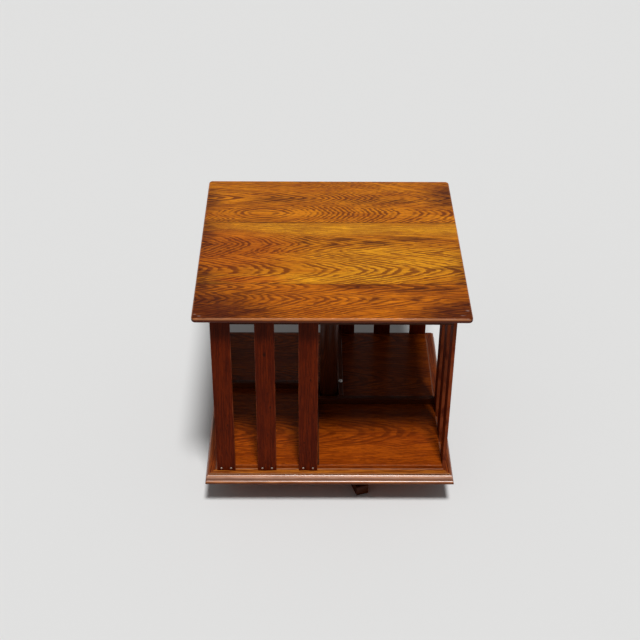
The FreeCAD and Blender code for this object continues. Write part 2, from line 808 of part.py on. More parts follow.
top = new_body("top_blank")
top_plan = rectangle(top, "top_plan", "XY_Plane", -TOP_FACE, TOP_FACE, -TOP_FACE, TOP_FACE)
top_pad = pad(top, "top_pad", top_plan, s.top_thickness, start=UPPER_TOP)
top_corners = round_edges(top, "top_corners", top_pad, is_upright, s.top_corner_radius)
round_edges(
    top, "top_edges", top_corners, lambda e: not is_upright(e), s.top_edge_round
)
TOP_JOINT_FRONT = s.top_front_board - TOP_FACE
TOP_JOINT_BACK = TOP_JOINT_FRONT + s.top_middle_board
TOP_BOARDS = {
    "front": (-TOP_FACE, TOP_JOINT_FRONT),
    "middle": (TOP_JOINT_FRONT, TOP_JOINT_BACK),
    "back": (TOP_JOINT_BACK, TOP_FACE),
}
for name, (low, high) in TOP_BOARDS.items():
    stretch = block(
        f"top_board_{name}_stretch",
        (-TOP_FACE, low, UPPER_TOP),
        (2 * TOP_FACE, high - low, s.top_thickness),
    )
    board = common(f"top_board_{name}_blank", top, stretch)
    node(cut(f"top_board_{name}", board, top_screws))

# ---------------------------------------------------------------------------------------------
# Check and write the sub-parts
# ---------------------------------------------------------------------------------------------

doc.recompute()
for thing in doc.Objects:
    broken = {"Invalid", "Error"} & set(thing.State)
    if broken:
        raise RuntimeError(f"{thing.Label}: {sorted(broken)}")

os.makedirs("parts", exist_ok=True)
for thing in nodes:
    shape = thing.Shape
    if shape.isNull() or not shape.isValid() or not shape.Solids:
        raise RuntimeError(f"{thing.Label}: no valid solid")
    shape.exportStep(os.path.join("parts", f"{thing.Label}.step"))
    print(f"{thing.Label}: {len(shape.Solids)} solid(s), {shape.Volume:.0f} mm3")
print(f"{len(nodes)} sub-parts written")
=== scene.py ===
import math

import bpy
from mathutils import Matrix, Vector


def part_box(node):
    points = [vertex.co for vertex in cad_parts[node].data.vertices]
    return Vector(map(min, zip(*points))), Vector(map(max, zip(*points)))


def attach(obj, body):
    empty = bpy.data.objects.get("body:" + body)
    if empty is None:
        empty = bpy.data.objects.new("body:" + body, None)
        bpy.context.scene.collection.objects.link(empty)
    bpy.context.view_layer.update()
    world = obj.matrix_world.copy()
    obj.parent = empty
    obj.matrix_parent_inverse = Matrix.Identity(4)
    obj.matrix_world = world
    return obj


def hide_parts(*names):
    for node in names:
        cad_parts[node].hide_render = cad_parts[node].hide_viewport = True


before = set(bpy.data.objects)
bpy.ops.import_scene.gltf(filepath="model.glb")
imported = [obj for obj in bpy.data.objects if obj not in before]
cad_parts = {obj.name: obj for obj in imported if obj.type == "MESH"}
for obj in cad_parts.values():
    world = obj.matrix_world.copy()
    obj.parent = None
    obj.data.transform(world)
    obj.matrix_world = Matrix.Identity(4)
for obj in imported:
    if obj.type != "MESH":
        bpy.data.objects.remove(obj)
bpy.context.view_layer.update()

# Revolving desktop bookcase: finishes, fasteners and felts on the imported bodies. Sizes and places are in
# millimetres, apart from those of the floor and the camera, which are in metres.

MM = 0.001


def span(node, axis):
    """The low and the high end of a CAD node along an axis, in millimetres."""
    return tuple(round(float(corner["xyz".index(axis)]) / MM, 4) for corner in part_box(node))


SIDES = ("front", "right", "back", "left")  # quarter turns about the column, anticlockwise from above

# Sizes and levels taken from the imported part.
HALF_TOP = span("top_board_front", "x")[1]
TOP_LEVEL = span("top_board_front", "z")[1]
TOP_JOINTS = span("top_board_middle", "y")
UPPER_BOARD_BOTTOM, UPPER_BOARD_LEVEL = span("upper_board", "z")
HALF_BOARD = span("shelf_board_front", "x")[1]
SHELF_LEVEL = span("shelf_board_front", "z")[1]
SHELF_JOINTS = span("shelf_board_middle", "y")
MOULDING_BOTTOM, MOULDING_LEVEL = span("moulding_front", "z")
HALF_MOULDING = span("moulding_front", "x")[1]
SLAT_FACE = -span("slat_front_1", "y")[0]
SLAT_WIDTH = span("slat_front_1", "x")[1] - span("slat_front_1", "x")[0]
SLAT_MIDDLES = tuple(sum(span(f"slat_front_{number}", "x")) / 2 for number in (1, 2, 3))
SLAT_BOTTOM = span("slat_front_1", "z")[0]
STOP_LEVEL = span("stop_front", "z")[1]
FOOT_LEVEL = span("foot_arm_upper", "z")[1]
PLATE_SCREW_LEVEL = span("plate_screws", "z")[1]
FLANGE_LEVEL = span("flange_screws", "z")[0]

# Places within the pieces, as the part's source has them.
FLAT_EDGE = HALF_MOULDING - 5.8  # the flat of the mouldings ends here in a quirk
NAIL_LEVELS = (SLAT_BOTTOM + 4.6, (UPPER_BOARD_BOTTOM + UPPER_BOARD_LEVEL) / 2)
NAIL_SPREAD = 7.15
FOOT_ANGLE = 18.0
PLATE_SCREW_CIRCLE = 44
FLANGE_SCREW_CIRCLE = 35
PAD_CIRCLE = 304
TOP_SCREW_GRID = (-140, 0, 140)
STOP_SCREW_PLACE = (19.7, 21.0, STOP_LEVEL)

# Places of wear and stain, and of painted shade and painted highlight.
SHELF_SHADE_EDGE = -70.0  # painted shade: the shelf is a little darker behind this line, where the top shades it
SLAT_SHADE_LEVELS = (296, 318)  # painted shade: the slats get a little darker between these levels, towards the top, under its overhang
# On the mouldings, counted from their bottom: where the painted highlight on the bead fades in, where it
# fades out, the middle of the groove below it, and where the painted shade on the lowest round ends.
BEAD_START, BEAD_END = (10.4, 12.4), (14.4, 16.0)
GROOVE_RISE = 9.5
BOTTOM_SHADE_LEVELS = (3.9, 5.4)


# ---------------------------------------------------------------------------------------------
# Node making
# ---------------------------------------------------------------------------------------------


class Signal:
    """A socket of a node tree as a number. Operators on it add Math nodes."""

    def __init__(self, maker, socket):
        self.maker, self.socket = maker, socket

    def output(self, which):
        """Another output of the node behind this one."""
        return Signal(self.maker, self.socket.node.outputs[which])

    def __add__(self, other):
        return self.maker.math("ADD", self, other)

    def __radd__(self, other):
        return self.maker.math("ADD", other, self)

    def __sub__(self, other):
        return self.maker.math("SUBTRACT", self, other)

    def __rsub__(self, other):
        return self.maker.math("SUBTRACT", other, self)

    def __mul__(self, other):
        return self.maker.math("MULTIPLY", self, other)

    def __abs__(self):
        return self.maker.math("ABSOLUTE", self)


class NodeMaker:
    """Adds nodes to one tree."""

    def __init__(self, tree):
        self.tree = tree
        self.tree.nodes.clear()

    def add(self, kind, settings=None, values=None, out=0):
        """One node: its type, its settings, then the values or links of its sockets."""
        node = self.tree.nodes.new(kind)
        for name, value in (settings or {}).items():
            setattr(node, name, value)
        for name, value in (values or {}).items():
            if isinstance(value, Signal):
                self.tree.links.new(value.socket, node.inputs[name])
            else:
                node.inputs[name].default_value = value
        return Signal(self, node.outputs[out]) if node.outputs else node

    def math(self, operation, *values):
        return self.add("ShaderNodeMath", {"operation": operation}, dict(enumerate(values)))

    def root(self, value):
        return self.math("SQRT", value)

    def smaller(self, first, second):
        return self.math("MINIMUM", first, second)

    def larger(self, first, second):
        return self.math("MAXIMUM", first, second)

    def vector(self, x, y, z):
        return self.add("ShaderNodeCombineXYZ", None, {0: x, 1: y, 2: z})

    def split(self, vector):
        x = self.add("ShaderNodeSeparateXYZ", None, {0: vector})
        return x, x.output(1), x.output(2)


class Finish(NodeMaker):
    """One procedural material, worked out in millimetres on the piece's own coordinates."""

    def __init__(self, name):
        self.material = bpy.data.materials.new(name)
        self.material.use_nodes = True
        super().__init__(self.material.node_tree)
        coordinates = self.add("ShaderNodeTexCoord", out="Object")
        self.point = self.add(
            "ShaderNodeVectorMath", {"operation": "SCALE"}, {0: coordinates, "Scale": 1 / MM}
        )

    def noise(self, at, size, seed, detail, roughness=0.5):
        """Noise about zero, mostly within one half, with features of that size along each axis."""
        spread = (size,) * 3 if isinstance(size, (int, float)) else size
        placed = self.add("ShaderNodeMapping", None, {
            "Vector": at,
            "Location": (seed, seed * 0.61 + 3.7, seed * 0.37 - 8.1),
            "Scale": tuple(1 / s for s in spread),
        })
        value = self.add("ShaderNodeTexNoise", None, {
            "Vector": placed, "Scale": 1.0, "Detail": detail, "Roughness": roughness,
        })
        return (value - 0.5) * 2

    def line_noise(self, along, size, seed):
        """The same along one number."""
        value = self.add("ShaderNodeTexNoise", {"noise_dimensions": "1D"}, {
            "W": along * (1 / size) + seed, "Scale": 1.0, "Detail": 2.0,
        })
        return (value - 0.5) * 2

    def rise(self, value, low, high):
        """0 below low, 1 above high, smooth between."""
        return self.add("ShaderNodeMapRange", {"interpolation_type": "SMOOTHSTEP"}, {
            "Value": value, "From Min": low, "From Max": high,
        })

    def mix(self, factor, first, second, blend="MIX"):
        """The first colour, blended with the second by the factor."""
        first, second = (c if isinstance(c, Signal) else (*c, 1.0) for c in (first, second))
        return self.add(
            "ShaderNodeMix", {"data_type": "RGBA", "blend_type": blend},
            {0: factor, 6: first, 7: second}, out=2,
        )

    def stain(self, at, middle, reach, core):
        """1 in the core of an ellipsoid about middle, falling to 0 at its reach."""
        moved = self.add("ShaderNodeVectorMath", {"operation": "SUBTRACT"}, {0: at, 1: middle})
        scaled = self.add(
            "ShaderNodeVectorMath", {"operation": "DIVIDE"}, {0: moved, 1: reach}
        )
        far = self.add("ShaderNodeVectorMath", {"operation": "LENGTH"}, {0: scaled}, out="Value")
        return 1 - self.rise(far, core, 1.0)

    def close(self, colour, height=None, depth=0.0, **sockets):
        """The shader: base colour, bump height in the given depth in millimetres, and other sockets."""
        values = {"Base Color": colour if isinstance(colour, Signal) else (*colour, 1.0)}
        values.update({name.replace("_", " "): value for name, value in sockets.items()})
        if height is not None:
            values["Normal"] = self.add(
                "ShaderNodeBump", None,
                {"Strength": 1.0, "Distance": depth * MM, "Height": height},
            )
        shader = self.add("ShaderNodeBsdfPrincipled", None, values)
        self.add("ShaderNodeOutputMaterial", None, {"Surface": shader})
        return self.material


# ---------------------------------------------------------------------------------------------
# Oak
# ---------------------------------------------------------------------------------------------


def row(place, slopes, blunt, arms, half=22.0, steep=0.4):
    """One row of nested arches in the figure of a board, about a line along the grain.

    slopes are (place along, slope from there on, softness): how fast the arches follow each other. The
    first has the softness None, as a plain slope through its place. blunt is the width of the arches'
    tips, arms the slope across the row, and steep what comes on top of it from half a row away. arms may
    be (slope, slope, from, to), which goes over from one slope to the other along the grain.
    """
    return place, slopes, blunt, arms, half, steep


class Oak(Finish):
    """Stained and varnished oak. The figure is the cut through the tree's year rings, given in rows.

    grain names the axes along, across and through the board, ring is the rings' distance, tones are the
    colours of the stain, and face is where the board's show side lies through the board. strip is
    (place across, slope): the rings crowd together beyond that place.
    """

    def __init__(self, name, grain, seed, rows, ring, tones, face=0.0, turn=0.0, line=0.8,
                 streak=0.5, swirl=1.2, wander=1.0, dashes=0.5, open_pores=0.45, strip=None):
        super().__init__(name)
        if turn:
            self.point = self.add("ShaderNodeVectorRotate", {"rotation_type": "Z_AXIS"}, {
                "Vector": self.point, "Angle": -math.radians(turn),
            })
        self.x, self.y, self.z = self.split(self.point)
        axes = {"x": self.x, "y": self.y, "z": self.z}
        self.along, self.across, self.through = (axes[a] for a in grain)
        self.wood = self.vector(self.along, self.across, self.through)
        self.seed = seed
        light, middle, dark, pore = tones

        drift = self.noise(self.wood, (130, 60, 60), seed + 1, 1.0)
        waves = self.noise(self.wood, (38, 10, 10), seed + 2, 2.0)
        steps = self.noise(self.wood, (26, 2.2, 2.2), seed + 3, 3.0, 0.65)
        level = self.figure(rows, self.along + steps * 5.25) + drift * (2.4 * wander) + waves * swirl
        if strip:
            level = level + self.bend(self.across, strip[0], 5.0) * strip[1]
        count = (level - (self.through - face) * 0.8) * (1 / ring)
        share = self.math("FRACT", count)
        strength = self.rise(self.line_noise(count, 1.9, seed), -0.45, 0.3)
        band = self.rise(share, 0.0, 0.16) * (1 - self.rise(share, 0.36, 0.95))
        fine = self.noise(self.wood, (8, 0.9, 0.9), seed + 5, 2.0, 0.6)
        torn = self.noise(self.wood, (14, 2.8, 2.8), seed + 17, 2.0, 0.6)
        bold = self.rise(self.noise(self.wood, (80, 20, 20), seed + 23, 1.0), -0.4, 0.2) * 0.4 + 0.6
        band = band * bold
        self.line = self.rise(band * (strength * 0.65 + 0.35) + torn * 0.5 + fine * 0.2, 0.18, 0.72)
        self.pores = self.rise(fine + band * 0.35, 0.35, 0.75) * open_pores
        broad = self.noise(self.wood, (120, 17, 17), seed + 9, 2.0)
        thin = self.noise(self.wood, (42, 3.2, 3.2), seed + 13, 2.0, 0.6)
        hair = self.noise(self.wood, (34, 1.3, 1.3), seed + 27, 2.0, 0.6)
        tone = self.rise(broad * 0.9 + thin * 1.1 + hair * 0.8, -0.45 / streak, 0.45 / streak)
        dash = self.rise(self.noise(self.wood, (15, 1.9, 1.9), seed + 19, 3.0, 0.7), 0.05, 0.32)

        ground = self.mix(tone, middle, light)
        dashed = self.mix(dash * dashes, ground, dark)
        lined = self.mix(self.line * line, dashed, dark)
        self.colour = self.mix(self.pores, lined, pore)

    def bend(self, value, place, soft):
        """0 before the place and 1 more for each millimetre after it, with a soft corner."""
        past = value - place
        return (past + self.root(past * past + soft * soft)) * 0.5

    def figure(self, rows, along):
        """How far out from the nearest row's heart a point lies."""
        nearest = None
        for place, slopes, blunt, arms, half, steep in rows:
            far, before = None, 0.0
            for start, slope, soft in slopes:
                if soft is None:
                    far, before = (along - start) * slope, slope
                else:
                    far, before = far + self.bend(along, start, soft) * (slope - before), slope
            aside = self.across - place
            if isinstance(arms, tuple):
                first, last, start, end = arms
                arms = self.rise(self.along, start, end) * (last - first) + first
            level = far + (self.root(aside * aside + blunt * blunt) - blunt) * arms
            if steep:
                level = level + self.bend(abs(aside), half, 7.0) * steep
            nearest = level if nearest is None else self.smaller(nearest, level)
        return nearest

    def cover(self, mask, colour):
        """Lays the colour over the wood where the mask is 1."""
        self.colour = self.mix(mask, self.colour, colour)

    def tint(self, mask, gain):
        """Multiplies the colour by the gain where the mask is 1."""
        self.colour = self.mix(mask, self.colour, gain, "MULTIPLY")

    def varnish(self, gloss, rough, worn=None, shine=0.1, coat_rough=0.14):
        """Closes the finish with a coat that is thinner where the piece is worn."""
        cloud = self.noise(self.point, 40, self.seed + 21, 3.0)
        roughness = rough + cloud * 0.1 + self.pores * 0.18
        coat = (1 - self.pores * 0.3) * gloss
        if worn is not None:
            roughness = roughness + worn * 0.18
            coat = coat * (1 - self.smaller(worn, 1.0) * 0.85)
        height = 0 - self.pores * 0.8 - self.line * 0.35 + cloud * 0.3
        return self.close(
            self.colour, height, depth=0.05, Roughness=roughness, Coat_Weight=coat,
            Coat_Roughness=coat_rough, Specular_IOR_Level=shine,
        )


# Tones of one stain: light wood, darker wood, ring line, open pore.
GOLDEN = ((0.77, 0.280, 0.009), (0.46, 0.126, 0.003), (0.16, 0.028, 0.002), (0.08, 0.012, 0.002))
AMBER = ((0.74, 0.245, 0.006), (0.40, 0.094, 0.002), (0.14, 0.022, 0.002), (0.07, 0.010, 0.002))
RUSSET = ((0.72, 0.205, 0.006), (0.38, 0.082, 0.002), (0.13, 0.020, 0.002), (0.07, 0.010, 0.002))
RED_BROWN = ((0.40, 0.075, 0.003), (0.22, 0.034, 0.002), (0.105, 0.014, 0.001), (0.04, 0.006, 0.001))
# Painted light: the moulding stain as a darker, shaded copy for the back and sides, and a lighter, lit copy
# for the front.
SHADED_MOULDING_TONES = ((0.26, 0.046, 0.003), (0.14, 0.021, 0.002), (0.065, 0.009, 0.001), (0.03, 0.005, 0.001))
LIT_MOULDING_TONES = ((0.54, 0.17, 0.016), (0.27, 0.062, 0.005), (0.11, 0.018, 0.002), (0.05, 0.008, 0.001))
DEEP_RED = (
    (0.120, 0.0130, 0.0010), (0.070, 0.0066, 0.0006), (0.036, 0.0036, 0.0006), (0.012, 0.002, 0.001),
)
# Painted shade: darker copies of the stain for the stops, and for the upper board, the column and the foot,
# which stand in shade.
SHADED_STOP_TONES = ((0.110, 0.022, 0.003), (0.065, 0.012, 0.002), (0.035, 0.006, 0.001), (0.012, 0.002, 0.001))
SHADED_DARK_TONES = ((0.070, 0.014, 0.002), (0.042, 0.008, 0.001), (0.024, 0.004, 0.001), (0.010, 0.002, 0.001))

# Colours of what lies on the wood, grows in it or is rubbed out of it, and of painted shade and painted
# highlight.
# painted shade on the top's lower rim and underside
TOP_RIM_SHADE = (0.062, 0.010, 0.004)
JOINT = (0.03, 0.008, 0.003)
WORN_EDGE = (0.50, 0.20, 0.075)
SCUFF = (0.34, 0.24, 0.21)
DUST = (0.26, 0.13, 0.085)
# painted highlight on the bead
BEAD_HIGHLIGHT = (0.66, 0.36, 0.25)
MOULDING_DIRT = (0.10, 0.030, 0.014)
# darker in the groove below the bead
GROOVE_DARK = (0.15, 0.045, 0.013)
# painted shade under the mouldings' lowest round
MOULDING_BOTTOM_SHADE = (0.080, 0.014, 0.001)
# painted shade on the shelf under the top
PAINTED_SHELF_SHADE = (0.012, 0.0022, 0.0004)
RUBBED_SLAT = (0.26, 0.055, 0.016)
NAIL_STAIN = (0.02, 0.006, 0.003)
KNOT = (0.012, 0.003, 0.001)

# What these leave of red, green and blue.
OLD_STAIN = (0.24, 0.16, 0.40)
FADED_TINT = (1.12, 1.32, 1.6)
RED_TINT = (0.84, 0.62, 0.7)
# painted shade at the slats' upper ends
SLAT_SHADE_TINT = (0.76, 0.80, 0.88)


def put(node, material):
    """The material on a CAD node."""
    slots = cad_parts[node].data.materials
    slots.clear()
    slots.append(material)


# Old dark patches in the top: (x, y), reach along and across, strength.
PATCHES = (
    ((-198, -196), (185, 125), 1.0),
    ((-204, -100), (75, 75), 0.8),
    ((-204, 20), (62, 110), 0.7),
    ((-202, 130), (56, 66), 0.75),
    ((200, -196), (130, 84), 1.0),
    ((204, -70), (50, 130), 0.6),
    ((198, 140), (85, 58), 0.75),
    ((-75, 131), (100, 18), 0.5),
    ((70, 128), (100, 26), 0.4),
    ((112, 126), (38, 12), 0.6),
    ((-35, 9), (14, 24), 0.6),
    ((20, 13), (34, 10), 0.65),
    ((0, -2), (22, 9), 0.6),
    ((62, 3), (46, 11), 0.65),
    ((120, 14), (70, 10), 0.65),
    ((168, -63), (34, 9), 0.6),
    ((40, -113), (74, 9), 0.65),
    ((140, -118), (95, 17), 0.6),
    ((116, -144), (20, 13), 0.65),
    ((-110, -128), (64, 14), 0.5),
    ((60, -146), (34, 15), 0.4),
    ((-130, 67), (90, 7), 0.4),
    ((-160, -8), (120, 44), 0.35),
    ((-140, -70), (110, 26), 0.25),
)

# Pale scuffs on the top's front corners.
SCUFFS = (
    ((-186, -181), (3, 2)),
    ((-180, -185), (4, 1.5)),
    ((184, -171), (4, 2.5)),
    ((177, -182), (5, 1.2)),
)

# Places where the stain has faded to gold, and where it stayed red.
FADED = (((60, 44), (330, 24)), ((95, -45), (150, 62)), ((10, -92), (120, 22)))
RED = (((-165, -15), (150, 84)), ((-110, -96), (80, 14)))


def finish_top(board, seed, rows, tones, **looks):
    """One board of the top: old patches, dark joints, rubbed outer edges, and painted shade on the lower rim
    and underside.
    """
    low, high = span("top_board_" + board, "y")
    oak = Oak("oak_top_" + board, "xyz", seed, rows, 2.3, tones, TOP_LEVEL, **looks)
    ragged = oak.noise(oak.wood, (34, 4, 4), 71, 3.0, 0.6)
    smoky = oak.vector(oak.x + ragged * 30, oak.y + ragged * 10, 0.0)
    crumbled = oak.noise(oak.wood, (22, 2.4, 2.4), 77, 3.0, 0.7)
    dark = None
    for (x, y), (along, across), strength in PATCHES:
        if low - across < y < high + across:
            patch = oak.stain(smoky, (x, y, 0), (along, across, 1), 0.2) * strength
            dark = patch if dark is None else oak.larger(dark, patch)
    for spots, gain in ((FADED, FADED_TINT), (RED, RED_TINT)):
        for (x, y), (along, across) in spots:
            if low - across / 2 < y < high + across / 2:
                oak.tint(oak.stain(smoky, (x, y, 0), (along, across, 1), 0.4), gain)
    oak.tint(oak.rise(dark + crumbled * (dark * 0.9 + 0.12), 0.05, 0.95), OLD_STAIN)
    for joint in TOP_JOINTS:
        if low - 1 < joint < high + 1:
            gap = abs(oak.y - joint) + ragged * 0.5
            oak.cover((1 - oak.rise(gap, 0.2, 1.2)) * 0.85, JOINT)
    edge = oak.smaller(HALF_TOP - abs(oak.x), HALF_TOP - abs(oak.y))
    rubbed = oak.noise(oak.point, (11, 11, 3), 33, 3.0)
    worn = (1 - oak.rise(edge + rubbed * 1.6, 0.2, 2.0)) * oak.rise(oak.z, TOP_LEVEL - 4.0, TOP_LEVEL - 2.0)
    oak.cover(worn * 0.55, WORN_EDGE)
    for (x, y), (along, across) in SCUFFS:
        if low < y < high:
            torn = oak.vector(oak.x + rubbed * 2, oak.y + rubbed * 1.5, 0.0)
            oak.cover(oak.stain(torn, (x, y, 0), (along, across, 1), 0.1) * 0.55, SCUFF)
    # Painted shade: the lower rim and the underside are darkened.
    painted_shade_below = 1 - oak.rise(oak.z + rubbed, TOP_LEVEL - 4.5, TOP_LEVEL - 2.3)
    oak.cover(painted_shade_below * 0.92, TOP_RIM_SHADE)
    return oak.varnish(0.14, 0.34, oak.larger(worn, painted_shade_below), shine=0.12)


put("top_board_back", finish_top("back", 11.0, (
    row(89, ((-103, -0.34, None), (-103, 0.32, 46), (80, 0.20, 30)),
        blunt=6.0, arms=(0.42, 0.26, -80, -20), half=21, steep=0.25),
    row(136, ((-290, 0.08, None), (-24, 0.26, 20), (80, 0.16, 30)),
        blunt=1.5, arms=0.30, half=12, steep=0.25),
), AMBER, wander=0.3, swirl=1.1, line=0.85, dashes=0.5))
put("top_board_middle", finish_top("middle", 29.0, (
    row(-1, ((-190, 0.23, None), (-36, 0.09, 24)),
        blunt=1.0, arms=(0.27, 0.42, -50, 30), half=24, steep=0.25),
    row(-71, ((-190, 0.13, None), (100, 0.11, 30)), blunt=6.0, arms=0.20, half=13, steep=0.28),
), GOLDEN, wander=0.6, swirl=1.7, line=0.82, dashes=0.55, strip=(24, 1.0)))
put("top_board_front", finish_top("front", 37.0, (
    row(-143, ((-190, 0.17, None), (40, 0.08, 50)), blunt=2.5, arms=0.22, half=14, steep=0.30),
    row(-114, ((-190, 0.12, None), (60, 0.05, 60)), blunt=2.0, arms=0.28, half=10, steep=0.30),
), RUSSET, wander=0.7, swirl=1.6, line=0.72, dashes=0.6))


def finish_shelf(board, seed, heart):
    """One board of the shelf, with dark joints and a rubbed edge, and painted shade behind and round the
    column.
    """
    low, high = span("shelf_board_" + board, "y")
    arches = row(heart, ((40, 0.10, None),), blunt=20, arms=0.5, half=30, steep=0.3)
    oak = Oak("oak_shelf_" + board, "xyz", seed, (arches,), 2.4, RED_BROWN, SHELF_LEVEL, line=0.6,
              streak=0.85, dashes=0.7, open_pores=0.65)
    for joint in SHELF_JOINTS:
        if low - 1 < joint < high + 1:
            oak.cover((1 - oak.rise(abs(oak.y - joint), 0.15, 0.6)) * 0.8, JOINT)
    edge = oak.smaller(HALF_BOARD - abs(oak.x), HALF_BOARD - abs(oak.y))
    rubbed = oak.noise(oak.point, (12, 12, 3), 35, 3.0)
    upper = oak.rise(oak.z, SHELF_LEVEL - 2.0, SHELF_LEVEL - 0.8)
    worn = (1 - oak.rise(edge + rubbed, 0.1, 1.2)) * upper
    oak.cover(worn * 0.15, WORN_EDGE)
    ragged = oak.noise(oak.wood, (40, 9, 9), 37, 2.0)
    # Painted shade: the shelf is darker round the column and behind the front strip, where the top shades
    # it.
    shade_around_column = oak.stain(oak.wood, (0, 0, SHELF_LEVEL), (150, 150, 300), 0.25)
    behind = oak.rise(oak.y + ragged * 12, SHELF_SHADE_EDGE - 25, SHELF_SHADE_EDGE + 25)
    oak.cover(oak.larger(shade_around_column * 0.32, behind * 0.22), PAINTED_SHELF_SHADE)
    return oak.varnish(0.1, 0.36, worn, shine=0.06)


for board, seed, heart in (("front", 41.0, -92), ("middle", 47.0, 40), ("back", 53.0, 150)):
    put("shelf_board_" + board, finish_shelf(board, seed, heart))

# Painted shade: the upper board gets the dark stain.
arches = row(30, ((0, 0.1, None),), blunt=12, arms=0.5)
oak = Oak("oak_upper_board", "xyz", 59.0, (arches,), 2.6, SHADED_DARK_TONES, UPPER_BOARD_LEVEL, line=0.6, streak=0.6)
put("upper_board", oak.varnish(0.05, 0.45, shine=0.06))


def finish_moulding(quarter, side):
    """One moulding: a dusty flat, a dark quirk, a bead and nosing with wear and a painted highlight that are
    strongest in front, a lighter painted-lit stain in front, and painted shade on the lowest round.
    """
    grain = "xyz" if quarter % 2 == 0 else "yxz"
    sign = -1 if quarter in (0, 3) else 1
    # Painted light: the front gets the lighter stain, more gloss and the full wear and painted highlight;
    # the other sides get the darker stain and a quarter of them.
    tones, front_wear_and_sheen, gloss = (LIT_MOULDING_TONES, 1.0, 0.95) if side == "front" else (SHADED_MOULDING_TONES, 0.25, 0.35)
    arches = row(sign * 150, ((0, 0.05, None),), blunt=18, arms=0.6)
    oak = Oak("oak_moulding_" + side, grain, 61.0 + 3 * quarter, (arches,), 2.2, tones, MOULDING_LEVEL,
              line=0.8, streak=0.8)
    dusty = oak.noise(oak.point, (22, 22, 4), 81, 3.0)
    out = abs(oak.across)
    flat = oak.rise(oak.z, MOULDING_LEVEL - 0.5, MOULDING_LEVEL - 0.1)
    dust = (1 - oak.rise(out + dusty * 1.5, HALF_BOARD + 0.9, HALF_BOARD + 3.5)) * flat
    oak.cover(dust * 0.6, DUST)
    ridge = oak.rise(out + dusty * 0.8, FLAT_EDGE - 1.6, FLAT_EDGE - 0.3)
    oak.cover(ridge * flat * 0.6 * front_wear_and_sheen, WORN_EDGE)
    rounds = oak.rise(out, FLAT_EDGE + 0.1, FLAT_EDGE + 0.4)
    # Wear and painted highlight on the bead and nosing.
    oak.cover(rounds * (0.42 + dusty * 0.6) * front_wear_and_sheen, WORN_EDGE)
    # Painted highlight: a pale band along the bead.
    rising = oak.rise(oak.z, *(MOULDING_BOTTOM + rise for rise in BEAD_START))
    bead = rising * (1 - oak.rise(oak.z + dusty * 0.6, *(MOULDING_BOTTOM + rise for rise in BEAD_END)))
    oak.cover(bead * rounds * (0.6 + dusty * 0.5) * front_wear_and_sheen, BEAD_HIGHLIGHT)
    dirt = oak.rise(oak.noise(oak.wood, (70, 1.3, 1.3), 83.0 + quarter, 3.0, 0.6), 0.0, 0.35)
    oak.cover(dirt * rounds * 0.65, MOULDING_DIRT)
    quirk = (1 - oak.rise(abs(out - FLAT_EDGE), 0.15, 0.6)) * (1 - flat)
    oak.cover(quirk * 0.85, JOINT)
    # Darker in the groove below the bead.
    groove = 1 - oak.rise(abs(oak.z - (MOULDING_BOTTOM + GROOVE_RISE)) + dusty * 0.5, 1.6, 3.2)
    oak.cover(groove * 0.65, GROOVE_DARK)
    # Painted shade on the underside of the lowest round.
    painted_shade_below = 1 - oak.rise(oak.z + dusty * 0.8, *(MOULDING_BOTTOM + rise for rise in BOTTOM_SHADE_LEVELS))
    oak.cover(painted_shade_below * 0.9, MOULDING_BOTTOM_SHADE)
    worn = oak.larger(oak.rise(dusty, 0.1, 0.5) * 0.4, painted_shade_below * 1.5)
    return oak.varnish(gloss, 0.32, worn, coat_rough=0.22)


for quarter, side in enumerate(SIDES):
    put("moulding_" + side, finish_moulding(quarter, side))

# Small knots in slats: height, place across, size.
KNOTS = {
    "front_1": ((152, -148.5, 1.6),),
    "front_2": ((280, -93.2, 3.2), (185, -86.5, 1.8)),
    "front_3": ((235, -28.8, 1.8), (118, -38, 1.5)),
    "right_1": ((214, -150, 2.2),),
    "back_2": ((131, 90, 3.0),),
    "left_3": ((262, 35, 2.4),),
}


def finish_slat(quarter, side, number):
    """One slat: rubbed edges, painted shade at its upper end, stain round the nails, and its knots."""
    across_axis, through_axis = "xy" if quarter % 2 == 0 else "yx"
    middle = sum(span(f"slat_{side}_{number}", across_axis)) / 2
    seed = 90.0 + 7 * quarter + 31 * number
    lines = row(middle + 70, ((0, 0.03, None),), blunt=30, arms=0.9, half=40, steep=0)
    oak = Oak(f"oak_slat_{side}_{number}", "z" + across_axis + through_axis, seed, (lines,), 1.9, DEEP_RED,
              line=0.6, streak=0.9, swirl=1.0, dashes=0.6)
    aside = abs(oak.across - middle)
    rubbed = oak.noise(oak.point, (9, 9, 22), seed + 41, 3.0)
    worn = oak.rise(aside + rubbed * 1.8, SLAT_WIDTH / 2 - 0.9, SLAT_WIDTH / 2 + 0.3)
    oak.cover(worn * 0.6, RUBBED_SLAT)
    # Painted shade: the upper end is darker under the top's overhang.
    oak.tint(oak.rise(oak.z + rubbed * 3, *SLAT_SHADE_LEVELS), SLAT_SHADE_TINT)
    nail = abs(aside - NAIL_SPREAD)
    rise = abs(abs(oak.z - sum(NAIL_LEVELS) / 2) - (NAIL_LEVELS[1] - NAIL_LEVELS[0]) / 2)
    ring = oak.root(nail * nail + rise * rise)
    oak.cover((1 - oak.rise(ring + rubbed * 0.8, 1.6, 3.6)) * 0.65, NAIL_STAIN)
    for level, place, size in KNOTS.get(f"{side}_{number}", ()):
        curled = oak.vector(oak.along + rubbed * 2, oak.across + rubbed, 0.0)
        knot = oak.stain(curled, (level, place, 0), (size * 2, size, 1), 0.15)
        oak.cover(knot * 0.85, KNOT)
    return oak.varnish(0.01, 0.42, worn, shine=0.035)


for quarter, side in enumerate(SIDES):
    for number in (1, 2, 3):
        put(f"slat_{side}_{number}", finish_slat(quarter, side, number))

